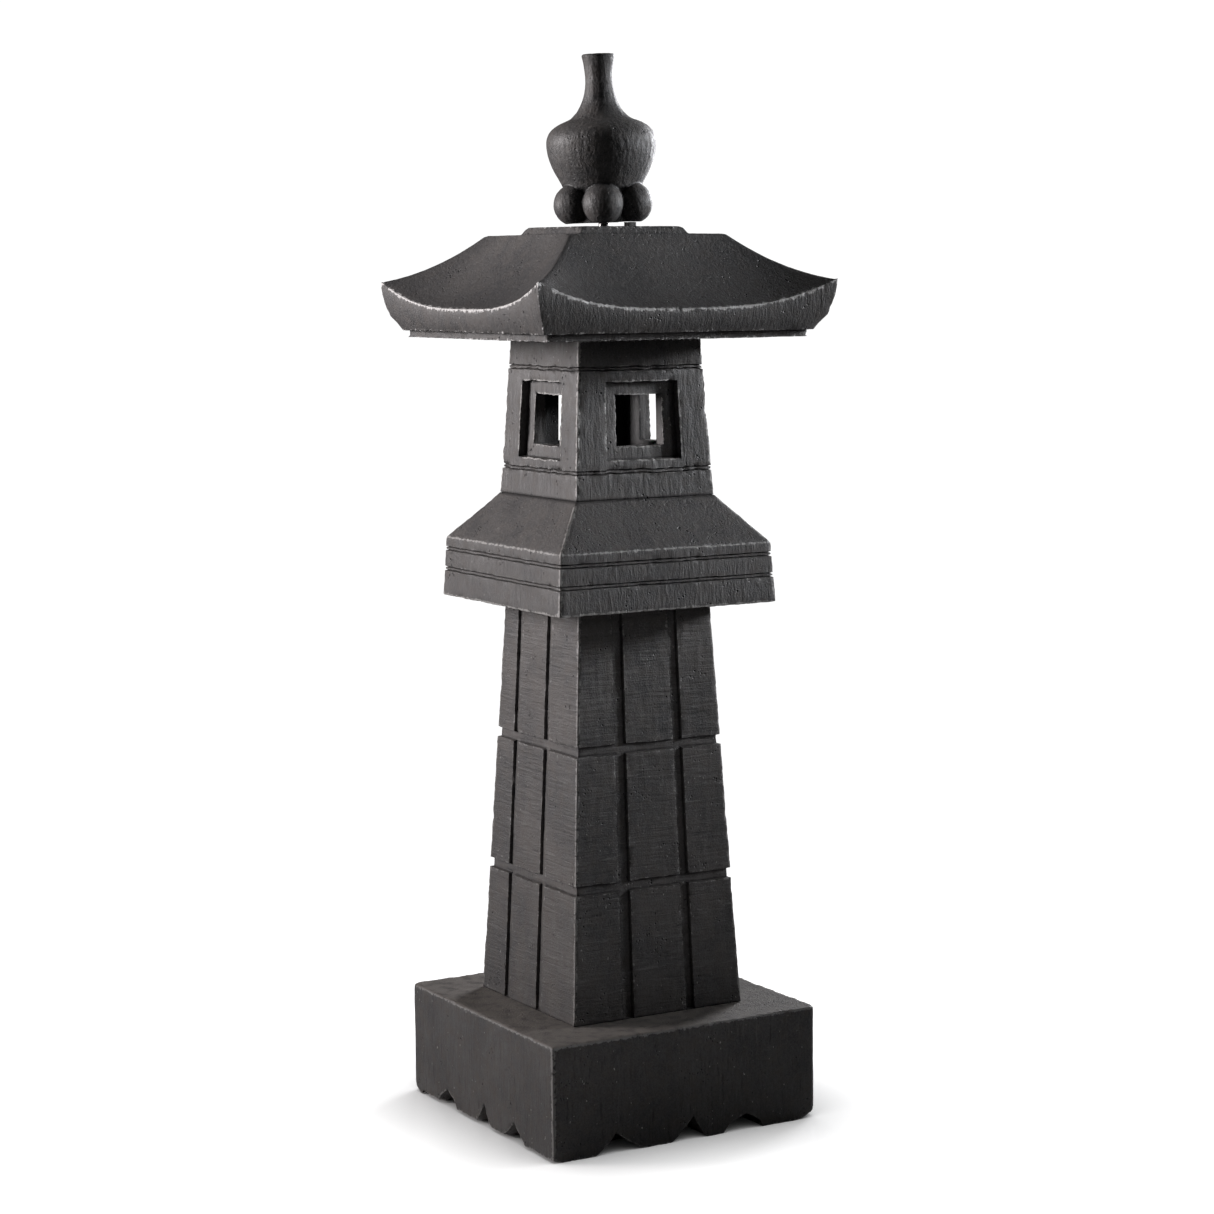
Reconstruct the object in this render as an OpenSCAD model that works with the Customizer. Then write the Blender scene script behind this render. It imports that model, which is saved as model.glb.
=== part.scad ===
// Square garden lantern of carved stone.
// Six stones stand loose on each other: base, post, platform, firebox, roof and finial.
// The lower stones are located by round tenons, the roof by a square boss that drops into
// the firebox, and the finial by a steel dowel. A tealight stands in a well in the firebox.
// The origin is at the middle of the underside, and +Z points up.

/* [Base] */
// Width of the square base
base_w = 286; // [270:1:300]
// Height of the base
base_h = 107.5; // [90:0.5:130]
// Radius of the three worn upright corners
base_corner_r = 9; // [3:0.5:14]
// How far the notches between the feet run in under the base
notch_depth = 35; // [15:1:45]

/* [Post] */
// Width of the post where it stands on the base
post_foot_w = 182.6; // [165:0.2:200]
// Width of the post under the platform
post_head_w = 142.2; // [130:0.2:155]
// Height of the post
post_h = 383.7; // [300:0.1:450]
// Width of the grooves that divide each face into nine panels
post_groove_w = 9.5; // [4:0.5:14]
// Depth of those grooves
post_groove_depth = 2.8; // [1:0.1:5]
// Distance between the two upright grooves of a face
post_groove_gap = 62; // [44:1:76]

/* [Platform] */
// Width of the platform at its underside
platform_foot_w = 231.8; // [215:0.2:250]
// Width at the top of its upright band
platform_band_w = 225.6; // [205:0.2:245]
// Height of the upright band
platform_band_h = 56.3; // [45:0.1:70]
// Height of the whole platform
platform_h = 99.7; // [85:0.1:115]

/* [Firebox] */
// Width of the firebox where it stands on the platform
firebox_foot_w = 148.4; // [142:0.2:160]
// Width of the firebox under the roof
firebox_head_w = 131.2; // [126:0.2:142]
// Height of the firebox
firebox_h = 147.1; // [135:0.1:165]
// Width of the square space inside
cavity_w = 100; // [84:1:102]
// Thickness of the floor under the space
firebox_floor = 20; // [16:1:24]
// Width of the recess round each window
recess_w = 78; // [70:1:84]
// Height of that recess
recess_h = 71.5; // [66:0.5:76]
// Depth of that recess
recess_depth = 7.5; // [4:0.5:9]
// Width of each window
window_w = 50; // [42:1:56]
// Height of each window
window_h = 47; // [40:1:52]
// Height of the window sills above the foot of the firebox
window_sill = 48; // [46:0.5:54]

/* [Roof] */
// Width between the tips of two neighbouring corners
roof_tip_w = 314; // [300:1:330]
// Width of the roof across the middle of two opposite eaves
roof_eave_w = 300; // [290:1:310]
// Height of the eaves above the roof's underside, at mid side
eave_h = 28; // [22:1:34]
// How much higher the corner tips are than the middle of the eaves
tip_lift = 25.4; // [10:0.2:30]
// Width of the flat at the top of the slopes
roof_flat_w = 165; // [150:1:180]
// Height of that flat above the roof's underside
roof_flat_h = 95; // [84:1:110]
// Width of the raised square plate that carries the finial
plate_w = 111; // [100:1:124]
// Height of that plate
plate_h = 7.3; // [4:0.1:12]

/* [Finial] */
// Largest radius of the bud
bud_r = 49.5; // [44:0.5:54]
// Radius of its neck
neck_r = 12.8; // [10:0.2:16]
// Number of knobs in the ring under the bud
knobs = 6; // [5:1:8]
// Radius of one knob
knob_r = 19; // [16:0.5:21]
// Gap between the finial and the plate under it
seat_gap = 4.2; // [1:0.1:6]
// Diameter of the steel dowel that holds the finial
dowel_d = 10; // [6:0.5:14]

/* [Tealight] */
// Diameter of the tealight's cup
cup_d = 38; // [36:0.5:40]
// Height of the cup
cup_h = 16; // [14:0.5:18]

/* [Hidden] */
$fn = 96;

lit_stone = "#5d5a5b";
dark_stone = "#3f3e40";
pale_chip = "#77726d";

// Material that a cutting shape passes beyond the face it cuts
over = 1;

// Heights of the beds between the stones
post_z = base_h;
platform_z = post_z + post_h;
firebox_z = platform_z + platform_h;
roof_z = firebox_z + firebox_h;
plate_z = roof_z + roof_flat_h;
finial_z = plate_z + plate_h + seat_gap;

// Round tenons under the post, platform and firebox, with loose sockets
tenon_r = 30;
tenon_h = 16;
socket_slack = 2.5;
socket_spare = 2;

// Notches under one face: place of the peak, reach to the left, reach to the right, height,
// and the bend of the sides: above 1 gives a cusp between rounded feet, below 1 an arch
front_notches = [[-77, 23, 31, 19, 1.3], [6, 24, 15, 22, 1.3], [64, 24, 18, 15, 0.45]];
side_notches = [[-68, 18, 20, 16, 0.6], [8, 17, 14, 22, 1.4], [68, 22, 22, 18, 1.2]];
notch_steps = 8;
front_corner_r = 2;

// Middle heights of the post's level grooves above its foot
post_groove_heights = [124.5, 252.5];

// Scribed lines: middle heights above the foot of their stone, width and depth
platform_lines = [25.8, 45.3];
firebox_lines = [25.3, 119.6];
line_w = 3;
line_depth = 1.6;

recess_z = window_sill - (recess_h - window_h) / 2;

// Underside of the roof: a stepped lip, then the fascia's foot
lip_w = 275;
lip_h = 6.5;
fascia_foot_w = 288.6;
boss_w = cavity_w - 8;
boss_h = 7;
eave_power = 3;
side_steps = 12;
slope_steps = 8;
plate_top_w = plate_w - 8;

// Finial: heights above its own underside
ring_z = 17.5;
ring_r = 31;
ring_core_r = 33;
waist_z = 33;
belly_z = 73.5;
shoulder_z = 94.5;
neck_z = 132.2;
finial_h = 155.5;
waist_r = 36.6;
shoulder_r = 30.5;
rim_r = 15.4;
curve_steps = 10;
ring_span = 2 * (ring_r + knob_r + over);

dowel_bite = 40;
dowel_seat = 26;
dowel_slack = 0.8;
chip_size = [9, 8];
chip_place = [17, -20];

cup_wall = 0.4;
wax_gap = 0.05;
wax_h = 12;
tab_r = 6;
tab_h = 0.5;
wick_r = 0.8;
wick_h = 19;
candle_z = firebox_z + firebox_floor;

// Point on a cubic curve
function bezier(a, b, c, d, t) =
    pow(1 - t, 3) * a + 3 * pow(1 - t, 2) * t * b + 3 * (1 - t) * t * t * c + t * t * t * d;

// Points along a cubic curve, without its last one
function curve(a, b, c, d) = [for (i = [0 : curve_steps - 1]) bezier(a, b, c, d, i / curve_steps)];

function flipped(outline) = [for (i = [len(outline) - 1 : -1 : 0]) [-outline[i][0], outline[i][1]]];

// Solid whose right-hand outline is the same from the front and from the side
module square_plan(outline) {
    span = 2 * max([for (p = outline) p[0]]) + 2 * over;
    both_sides = concat(outline, flipped(outline));
    intersection() {
        rotate([90, 0, 0]) linear_extrude(span, center = true) polygon(both_sides);
        rotate([90, 0, 90]) linear_extrude(span, center = true) polygon(both_sides);
    }
}

// Square block that tapers from its foot to its head, sunk by inset and longer by extra at both ends
module taper(foot_w, head_w, h, inset = 0, extra = 0) {
    lean = (head_w - foot_w) / 2 / h;
    square_plan([
        [foot_w / 2 - inset - extra * lean, -extra],
        [head_w / 2 - inset + extra * lean, h + extra]
    ]);
}

// Ring of material round a tapered block between two depths, as a level cut all round it
module level_cut(foot_w, head_w, h, z, width, depth) {
    difference() {
        translate([0, 0, z]) cube([foot_w + 2 * over, foot_w + 2 * over, width], center = true);
        taper(foot_w, head_w, h, depth, over);
    }
}

// Round tenon that hangs under a stone whose foot is at zero
module tenon() {
    translate([0, 0, -tenon_h]) cylinder(r = tenon_r, h = tenon_h + over);
}

// Socket for a tenon, cut down from the top of a stone at height h
module socket(h) {
    depth = tenon_h + socket_spare;
    translate([0, 0, h - depth]) cylinder(r = tenon_r + socket_slack, h = depth + over);
}

// Square with three round corners, and the fourth, towards -X and -Y, nearly sharp
module worn_square(w, r, sharp_r) {
    module bar(reach_x, reach_y, corner_r) {
        translate([reach_x > 0 ? 0 : -w / 2, reach_y > 0 ? 0 : -w / 2]) {
            translate([reach_x > 0 ? 0 : corner_r, 0]) square([w / 2 - corner_r, w / 2]);
            translate([0, reach_y > 0 ? 0 : corner_r]) square([w / 2, w / 2 - corner_r]);
        }
        translate([reach_x * (w / 2 - corner_r), reach_y * (w / 2 - corner_r)]) circle(corner_r);
    }
    for (x = [-1, 1], y = [-1, 1]) bar(x, y, x + y == -2 ? sharp_r : r);
}

// Notch between two feet, cut into the face that looks towards -Y
module foot_notch(peak, left, right, h, bend) {
    function reach(t) = 1 - pow(t, 1 / bend);
    side = [for (i = [0 : notch_steps]) i / notch_steps];
    outline = concat(
        [[peak + right, -over]],
        [for (t = side) [peak + right * reach(t), h * t]],
        [for (i = [notch_steps - 1 : -1 : 0]) [peak - left * reach(side[i]), h * side[i]]],
        [[peak - left, -over]]
    );
    translate([0, notch_depth - base_w / 2, 0])
        rotate([90, 0, 0]) linear_extrude(notch_depth + over) polygon(outline);
}

module base() {
    color(dark_stone) difference() {
        linear_extrude(base_h) worn_square(base_w, base_corner_r, front_corner_r);
        for (turn = [0, 180]) {
            rotate(turn) for (n = front_notches) foot_notch(n[0], n[1], n[2], n[3], n[4]);
            rotate(turn - 90) for (n = side_notches) foot_notch(n[0], n[1], n[2], n[3], n[4]);
        }
        socket(base_h);
    }
}

module post() {
    color(dark_stone) translate([0, 0, post_z]) {
        difference() {
            taper(post_foot_w, post_head_w, post_h);
            for (z = post_groove_heights)
                level_cut(post_foot_w, post_head_w, post_h, z, post_groove_w, post_groove_depth);
            upright_cuts();
        }
        tenon();
        translate([0, 0, post_h]) mirror([0, 0, 1]) tenon();
    }
}

// Two upright grooves down each face of the post
module upright_cuts() {
    difference() {
        for (turn = [0, 90], x = [-1, 1])
            rotate(turn) translate([x * post_groove_gap / 2, 0, post_h / 2])
                cube([post_groove_w, post_foot_w + 2 * over, post_h + over], center = true);
        taper(post_foot_w, post_head_w, post_h, post_groove_depth, over);
    }
}

module platform() {
    color(lit_stone) translate([0, 0, platform_z]) difference() {
        square_plan([
            [platform_foot_w / 2, 0],
            [platform_band_w / 2, platform_band_h],
            [firebox_foot_w / 2, platform_h]
        ]);
        for (z = platform_lines)
            level_cut(platform_foot_w, platform_band_w, platform_band_h, z, line_w, line_depth);
        socket(platform_h);
        mirror([0, 0, 1]) socket(0);
    }
}

module firebox() {
    color(lit_stone) translate([0, 0, firebox_z]) {
        difference() {
            taper(firebox_foot_w, firebox_head_w, firebox_h);
            translate([-cavity_w / 2, -cavity_w / 2, firebox_floor])
                cube([cavity_w, cavity_w, firebox_h]);
            for (turn = [0, 90]) rotate(turn) window_pair();
            for (z = firebox_lines)
                level_cut(firebox_foot_w, firebox_head_w, firebox_h, z, line_w, line_depth);
        }
        tenon();
    }
}

// Windows in two opposite faces, each in a shallow recess
module window_pair() {
    reach = firebox_foot_w + 2 * over;
    translate([-window_w / 2, -reach / 2, window_sill]) cube([window_w, reach, window_h]);
    difference() {
        translate([-recess_w / 2, -reach / 2, recess_z]) cube([recess_w, reach, recess_h]);
        taper(firebox_foot_w, firebox_head_w, firebox_h, recess_depth, over);
    }
}

// Share of the corner's lift at a place along one side, from -1 to 1
function lifted(s) = pow(abs(s), eave_power);

// Distance out and height of the slope: t runs from the eave to the flat, s along one side
function slope_point(s, t) =
    let (
        flat = [roof_flat_w / 2, roof_flat_h],
        eave = [roof_eave_w / 2, eave_h],
        tip = [roof_tip_w / 2, eave_h + tip_lift],
        middle = bezier(eave, eave + [-20, 9.5], flat + [20.5, -30], flat, t),
        corner = bezier(tip, tip + [-27, 5.1], flat + [21.5, -20], flat, t)
    )
    middle + (corner - middle) * lifted(s);

// One side of a ring: points [along, out, up] from one corner towards the next
function side_of(half_w, h) = [for (i = [0 : side_steps - 1]) [(2 * i / side_steps - 1) * half_w, -half_w, h]];

function slope_side(t) =
    let (corner_w = slope_point(1, t)[0])
    [for (i = [0 : side_steps - 1])
        let (s = 2 * i / side_steps - 1, p = slope_point(s, t))
        [s * corner_w, -p[0], p[1]]];

function turned(p, quarter) =
    quarter == 0 ? p : turned([-p[1], p[0], p[2]], quarter - 1);

function all_round(side) = [for (quarter = [0 : 3], p = side) turned(p, quarter)];

// Closed solid through rings that all have the same number of points, from the lowest to the highest
module skinned(rings) {
    count = len(rings[0]);
    last = len(rings) - 1;
    foot_middle = len(rings) * count;
    head_middle = foot_middle + 1;
    function at(ring, i) = ring * count + i % count;
    around = [0 : count - 1];
    points = concat([for (ring = rings, p = ring) p], [[0, 0, rings[0][0][2]], [0, 0, rings[last][0][2]]]);
    walls = [for (ring = [0 : last - 1], i = around) each [
        [at(ring, i), at(ring + 1, i), at(ring, i + 1)],
        [at(ring, i + 1), at(ring + 1, i), at(ring + 1, i + 1)]
    ]];
    foot = [for (i = around) [foot_middle, at(0, i), at(0, i + 1)]];
    head = [for (i = around) [head_middle, at(last, i + 1), at(last, i)]];
    polyhedron(points, concat(foot, walls, head));
}

module roof() {
    color(lit_stone) translate([0, 0, roof_z]) difference() {
        union() {
            skinned(concat(
                [
                    all_round(side_of(lip_w / 2, 0)),
                    all_round(side_of(lip_w / 2, lip_h)),
                    all_round(side_of(fascia_foot_w / 2, lip_h))
                ],
                [for (i = [0 : slope_steps]) all_round(slope_side(i / slope_steps))]
            ));
            translate([0, 0, roof_flat_h - over]) taper(plate_w, plate_top_w, plate_h + over);
            translate([-boss_w / 2, -boss_w / 2, -boss_h]) cube([boss_w, boss_w, boss_h + over]);
        }
        translate([0, 0, roof_flat_h + plate_h - dowel_seat])
            cylinder(d = dowel_d + 2 * dowel_slack, h = dowel_seat + over);
    }
}

// Thin chip of stone that keeps the finial from rocking on its dowel
module levelling_chip() {
    color(pale_chip) translate([chip_place[0], chip_place[1], finial_z - seat_gap])
        linear_extrude(seat_gap) square(chip_size, center = true);
}

// Half outline of the bud, from the middle of its foot to the middle of its top
function bud_outline() =
    let (
        waist = [waist_r, waist_z],
        belly = [bud_r, belly_z],
        shoulder = [shoulder_r, shoulder_z],
        neck = [neck_r, neck_z],
        rim = [rim_r, finial_h - 1.5]
    )
    concat(
        [[0, 0], [ring_core_r - 1, 0], [ring_core_r, ring_z]],
        curve(waist, waist + [2.5, 7], belly - [0, 18], belly),
        curve(belly, belly + [0, 12], shoulder + [10.5, -4], shoulder),
        curve(shoulder, shoulder + [-7.5, 3], neck + [0.2, -21.7], neck),
        curve(neck, neck + [0, 8], rim - [2, 6.5], rim),
        [rim, [rim_r, finial_h], [0, finial_h]]
    );

module finial() {
    color(dark_stone) translate([0, 0, finial_z]) difference() {
        union() {
            rotate_extrude() polygon(bud_outline());
            for (i = [0 : knobs - 1]) rotate(i * 360 / knobs) translate([ring_r, 0, ring_z]) sphere(knob_r);
        }
        translate([0, 0, -knob_r]) cube([ring_span, ring_span, 2 * knob_r], center = true);
        translate([0, 0, -over]) cylinder(d = dowel_d, h = dowel_bite + over);
    }
}

module finial_dowel() {
    length = dowel_bite + seat_gap + dowel_seat;
    color("silver") translate([0, 0, finial_z + dowel_bite - length]) cylinder(d = dowel_d, h = length);
}

module candle_cup() {
    color("lightgray") translate([0, 0, candle_z]) difference() {
        cylinder(d = cup_d, h = cup_h);
        translate([0, 0, cup_wall]) cylinder(d = cup_d - 2 * cup_wall, h = cup_h);
    }
}

module candle_wax() {
    color("ivory") translate([0, 0, candle_z + cup_wall]) difference() {
        cylinder(d = cup_d - 2 * cup_wall - 2 * wax_gap, h = wax_h);
        translate([0, 0, -over]) cylinder(r = tab_r + wax_gap, h = tab_h + over);
        translate([0, 0, -over]) cylinder(r = wick_r, h = wax_h + 2 * over);
    }
}

// Round foot that holds the wick upright in the wax
module wick_tab() {
    color("silver") translate([0, 0, candle_z + cup_wall]) difference() {
        cylinder(r = tab_r, h = tab_h);
        translate([0, 0, -over]) cylinder(r = wick_r, h = tab_h + 2 * over);
    }
}

module candle_wick() {
    color("white") translate([0, 0, candle_z + cup_wall]) cylinder(r = wick_r, h = wick_h);
}

base();
post();
platform();
firebox();
roof();
levelling_chip();
finial();
finial_dowel();
candle_cup();
candle_wax();
wick_tab();
candle_wick();
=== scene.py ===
import bisect
import math
import time

import bmesh
import bpy
from mathutils import Matrix, Vector, kdtree


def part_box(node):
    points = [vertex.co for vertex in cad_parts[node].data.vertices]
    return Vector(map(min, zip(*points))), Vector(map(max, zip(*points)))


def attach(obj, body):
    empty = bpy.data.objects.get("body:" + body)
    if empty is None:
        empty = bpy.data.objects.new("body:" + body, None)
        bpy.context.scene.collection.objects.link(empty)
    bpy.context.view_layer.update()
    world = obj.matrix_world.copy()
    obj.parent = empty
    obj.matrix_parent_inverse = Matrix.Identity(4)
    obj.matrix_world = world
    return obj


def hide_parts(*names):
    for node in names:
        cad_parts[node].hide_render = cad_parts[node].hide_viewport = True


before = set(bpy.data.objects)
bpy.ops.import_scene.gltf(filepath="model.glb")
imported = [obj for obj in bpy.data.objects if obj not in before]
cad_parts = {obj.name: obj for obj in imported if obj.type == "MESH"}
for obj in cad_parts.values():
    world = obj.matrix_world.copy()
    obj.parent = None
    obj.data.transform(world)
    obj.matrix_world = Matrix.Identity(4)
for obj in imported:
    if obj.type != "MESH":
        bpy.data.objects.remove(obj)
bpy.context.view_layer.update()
startTime = time.time()

# beds between the stones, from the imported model
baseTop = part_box("base")[1].z
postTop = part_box("platform")[0].z
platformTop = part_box("platform")[1].z
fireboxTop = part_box("firebox")[1].z
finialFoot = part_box("finial")[0].z

front, left, back, right = (1, -1), (0, -1), (1, 1), (0, 1)  # axis a side looks along, and which way
allSides = (front, left, back, right)


def note(text):
    print(f"[{time.time() - startTime:6.1f} s] {text}")


def clearSelection():
    bpy.ops.object.select_all(action="DESELECT")


def choose(piece):
    clearSelection()
    piece.select_set(True)
    bpy.context.view_layer.objects.active = piece


def startEditing(piece):
    choose(piece)
    bpy.ops.object.mode_set(mode="EDIT")


def stopEditing():
    bpy.ops.object.mode_set(mode="OBJECT")


def pick(piece, kind, wanted):
    bpy.ops.mesh.select_mode(type=kind)
    bpy.ops.mesh.select_all(action="DESELECT")
    mesh = bmesh.from_edit_mesh(piece.data)
    for item in {"VERT": mesh.verts, "EDGE": mesh.edges, "FACE": mesh.faces}[kind]:
        if wanted(item):
            item.select_set(True)
    mesh.select_flush_mode()
    bmesh.update_edit_mesh(piece.data)


def addBlock(name, low, high):
    clearSelection()
    middle = [(a + b) / 2 for a, b in zip(low, high)]
    bpy.ops.mesh.primitive_cube_add(size=1, location=middle)
    block = bpy.context.object
    block.name = name
    block.data.name = name
    block.scale = [b - a for a, b in zip(low, high)]
    bpy.ops.object.transform_apply(location=True, rotation=True, scale=True)
    return block


def resizeTo(factor, z):
    bpy.ops.transform.resize(value=(factor, factor, 1), center_override=(0, 0, z))


def raiseTop(rise, factor, z):
    # carries the picked top faces up and draws them in or out
    bpy.ops.mesh.extrude_region_move(TRANSFORM_OT_translate={"value": (0, 0, rise)})
    if factor != 1:
        resizeTo(factor, z)


def pickTop(piece, z):
    pick(piece, "FACE", lambda f: f.normal.z > 0.99 and abs(f.calc_center_median().z - z) < 1e-5)


def softenEdges(piece, width, segments, wanted):
    pick(piece, "EDGE", wanted)
    bpy.ops.mesh.bevel(offset=width, segments=segments, profile=0.5, affect="EDGES", clamp_overlap=True)


def hardEdge(edge):
    return len(edge.link_faces) == 2 and edge.calc_face_angle(0) > math.radians(25)


def lineAt(line, z, zFoot, zHead):
    return line[0] + (line[1] - line[0]) * (z - zFoot) / (zHead - zFoot)


def filled(lines, gap):
    # adds lines between the given ones, so that neighbours are never further apart than the gap
    out = []
    for a, b in zip(lines, lines[1:]):
        steps = max(1, math.ceil(max(abs(b[0] - a[0]), abs(b[1] - a[1])) / gap - 0.01))
        out += [tuple(p + (q - p) * i / steps for p, q in zip(a, b)) for i in range(steps)]
    return out + [lines[-1]]


def cutUpright(axis, lines, zFoot, zHead):
    # slices what is being edited along upright planes; a line is its place at the foot and at the head
    for foot, head in lines:
        point, normal = [0, 0, zFoot], [0, 0, foot - head]
        point[axis] = foot
        normal[axis] = zHead - zFoot
        bpy.ops.mesh.select_all(action="SELECT")
        bpy.ops.mesh.bisect(plane_co=point, plane_no=normal)


def cutLevel(heights):
    for z in heights:
        bpy.ops.mesh.select_all(action="SELECT")
        bpy.ops.mesh.bisect(plane_co=(0, 0, z), plane_no=(0, 0, 1))


def addRows(piece, low, high, gap):
    # splits the upright edges that run from one level to the next
    def spans(edge):
        a, b = sorted(v.co.z for v in edge.verts)
        return abs(a - low) < 2e-5 and abs(b - high) < 2e-5
    cuts = math.ceil((high - low) / gap) - 1
    if cuts > 0:
        pick(piece, "EDGE", spans)
        bpy.ops.mesh.subdivide(number_cuts=cuts)


def sinkRing(piece, low, high, half, depth):
    # draws the surface between two levels inwards, all round
    near = 2e-5
    pick(piece, "VERT", lambda v: low - near < v.co.z < high + near)
    resizeTo((half - depth) / half, (low + high) / 2)


def sinkPatch(piece, side, wanted, depth):
    # presses part of one side straight in
    axis, sign = side
    pick(piece, "VERT", wanted)
    move = [0, 0, 0]
    move[axis] = -sign * depth
    bpy.ops.transform.translate(value=move)


def applyModifier(piece, kind, **settings):
    choose(piece)
    modifier = piece.modifiers.new(kind.lower(), kind)
    for key, value in settings.items():
        setattr(modifier, key, value)
    bpy.ops.object.modifier_apply(modifier=modifier.name)


def paintGroup(piece, name, weightAt):
    group = piece.vertex_groups.get(name) or piece.vertex_groups.new(name=name)
    for v in piece.data.vertices:
        weight = weightAt(v)
        if weight > 0.001:
            group.add([v.index], min(weight, 1), "REPLACE")


def noiseTexture(name, kind, size, **settings):
    texture = bpy.data.textures.new(name, kind)
    texture.noise_scale = size
    texture.use_clamp = True
    for key, value in settings.items():
        setattr(texture, key, value)
    return texture


def roughen(piece, texture, strength, middle=0.5, group="", direction="NORMAL", along=None):
    settings = {"texture": texture, "strength": strength, "mid_level": middle, "vertex_group": group,
                "direction": direction, "texture_coords": "LOCAL"}
    if along:
        settings |= {"texture_coords_object": along, "texture_coords": "OBJECT"}
    applyModifier(piece, "DISPLACE", **settings)


def drill(piece, radius, low, high, where=(0, 0), mode="DIFFERENCE"):
    clearSelection()
    bpy.ops.mesh.primitive_cylinder_add(vertices=64, radius=radius, depth=high - low,
                                        location=(where[0], where[1], (low + high) / 2))
    tool = bpy.context.object
    applyModifier(piece, "BOOLEAN", operation=mode, object=tool, solver="EXACT")
    bpy.data.objects.remove(tool)


def markArrises(piece, reach, cornerShadeReach, sharp, crease, joints):
    # stores how near each point is to an outer edge and to an inner corner, for the wear and the painted shade;
    # joints are heights where two stones meet, which get painted shade
    mesh = bmesh.new()
    mesh.from_mesh(piece.data)
    outer = set()
    inner = {v.index for v in mesh.verts if any(abs(v.co.z - z) < 0.0011 for z in joints)}
    for edge in mesh.edges:
        if any(abs(edge.verts[0].co.z - z) < 0.0022 for z in joints):
            continue
        if len(edge.link_faces) == 2:
            turn = edge.calc_face_angle_signed(0)
            if turn > math.radians(sharp):
                outer.update(v.index for v in edge.verts)
            elif turn < -math.radians(crease):
                inner.update(v.index for v in edge.verts)
    for name, found, span in (("arris", outer, reach), ("cornerShade", inner, cornerShadeReach)):
        tree = kdtree.KDTree(max(1, len(found)))
        for i in found:
            tree.insert(piece.data.vertices[i].co, i)
        tree.balance()
        values = [0.0] * len(piece.data.vertices)
        if found:
            for v in piece.data.vertices:
                values[v.index] = max(0.0, 1 - tree.find(v.co)[2] / span)
        layer = piece.data.attributes.new(name, "FLOAT", "POINT")
        layer.data.foreach_set("value", values)
    mesh.free()


def smoothShade(piece, degrees=32):
    choose(piece)
    bpy.ops.object.shade_smooth_by_angle(angle=math.radians(degrees))


def squareStone(name, profile):
    # a square block drawn up through a list of heights and half widths
    (foot, footHalf), (head, headHalf) = profile[:2]
    stone = addBlock(name, (-footHalf, -footHalf, foot), (footHalf, footHalf, head))
    startEditing(stone)
    pickTop(stone, head)
    resizeTo(headHalf / footHalf, head)
    for (low, lowHalf), (high, highHalf) in zip(profile[1:], profile[2:]):
        pickTop(stone, low)
        raiseTop(high - low, highHalf / lowHalf, high)
    return stone


def mirrored(lines):
    return sorted([(-a, -b) for a, b in lines] + list(lines))


def bez(a, b, c, d, t):
    return tuple((1 - t) ** 3 * p + 3 * (1 - t) ** 2 * t * q + 3 * (1 - t) * t * t * r + t ** 3 * s
                 for p, q, r, s in zip(a, b, c, d))


stretched = {}


def drawnUp(times):
    # an empty whose scale draws a texture out upwards; all of them are taken away at the end
    if times not in stretched:
        clearSelection()
        bpy.ops.object.empty_add()
        stretched[times] = bpy.context.object
        stretched[times].scale.z = times
        bpy.context.view_layer.update()
    return stretched[times]


view = {
    "lens": 86.57,
    "azimuth": -29.94,
    "distance": 2.7499,
    "eye": 0.8048,
    "tilt": 6.68,
    "roll": -0.48,
}
turn = math.radians(view["azimuth"])
standOff = view["distance"]
bpy.ops.object.camera_add(location=(math.sin(turn) * standOff, -math.cos(turn) * standOff, view["eye"]))
camera = bpy.context.object
camera.name = "studioCamera"
camera.data.lens = view["lens"]
camera.data.sensor_width = 36
camera.data.clip_end = 60
camera.rotation_euler = (Matrix.Rotation(turn, 3, "Z") @ Matrix.Rotation(math.radians(90 - view["tilt"]), 3, "X")
                         @ Matrix.Rotation(math.radians(view["roll"]), 3, "Z")).to_euler()
bpy.context.scene.camera = camera
bpy.context.scene.view_settings.view_transform = "Standard"

studio = {
    "backdrop": 1.05,
    "roomLight": 0.004,
    "floorGlow": 1.10,
    "contactReach": 0.12,
    "contactDepth": 1.7,
    "lamps": {
        # name: place, aim, width, height, watts, spread of the beam in degrees, colour
        "keyLamp": ((-2.2, 1.4, 1.25), (0, 0, 0.9), 0.9, 1.0, 8.6, 50, (1.0, 0.955, 0.962)),
        "lowKeyLamp": ((-2.2, 1.4, 0.7), (0, 0, 0.45), 0.9, 0.9, 1.2, 90, (1.0, 0.95, 0.92)),
        "rearLamp": ((2.2, 1.3, 1.2), (0, 0, 0.9), 0.9, 1.2, 9.2, 60, (0.96, 0.965, 1.0)),
        "sideLamp": ((2.4, -0.8, 1.3), (0, 0, 0.70), 0.5, 0.5, 2.15, 28, (0.95, 0.965, 1.0)),
        "frontLamp": ((1.6, -1.9, 1.2), (0, 0, 0.68), 0.5, 0.5, 0.09, 24, (1.0, 1.0, 1.0)),
        "topLamp": ((0, -0.1, 2.8), (0, 0, 0.5), 1.0, 1.0, 0.35, 60, (1.0, 1.0, 1.0)),
    },
}


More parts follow.
